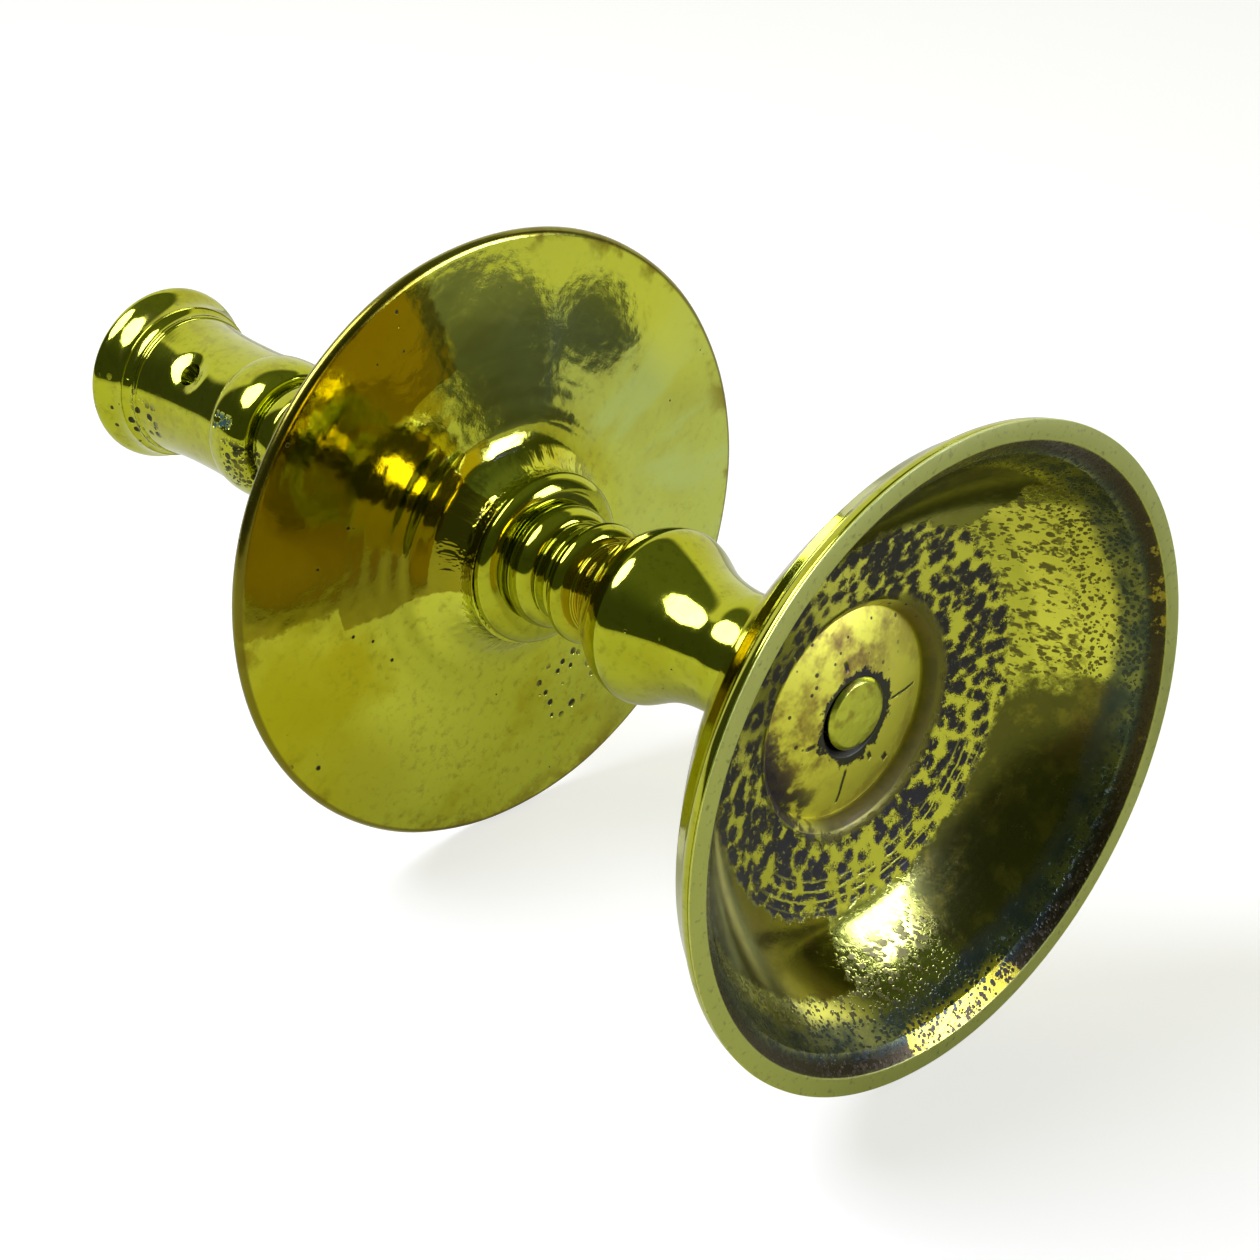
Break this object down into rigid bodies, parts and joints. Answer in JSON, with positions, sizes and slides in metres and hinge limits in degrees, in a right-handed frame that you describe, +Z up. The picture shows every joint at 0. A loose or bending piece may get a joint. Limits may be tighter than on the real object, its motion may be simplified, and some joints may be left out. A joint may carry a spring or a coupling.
{
  "type": "candlestick",
  "caption": "Turned brass candlestick with a spreading hollow foot, baluster stem, wide drip pan half way up and a flared candle socket with a push-out hole.",
  "frame": {"origin": "centre of the ring that the foot stands on", "axes": "+Z up along the stem to the candle socket; the push-out hole in the socket faces -Y"},
  "size_m": [0.116, 0.116, 0.22],
  "materials": {
    "foot_brass": "old cast brass, polished outside, dark and rough inside",
    "lower_stem_brass": "polished brass, greenish yellow",
    "drip_pan_brass": "polished brass with soft wear and fine pits",
    "upper_stem_brass": "polished brass with casting pits"
  },
  "bodies": {
    "root": {"foot": "foot_brass", "lower_stem": "lower_stem_brass", "drip_pan": "drip_pan_brass", "upper_stem": "upper_stem_brass"}
  },
  "joints": []
}
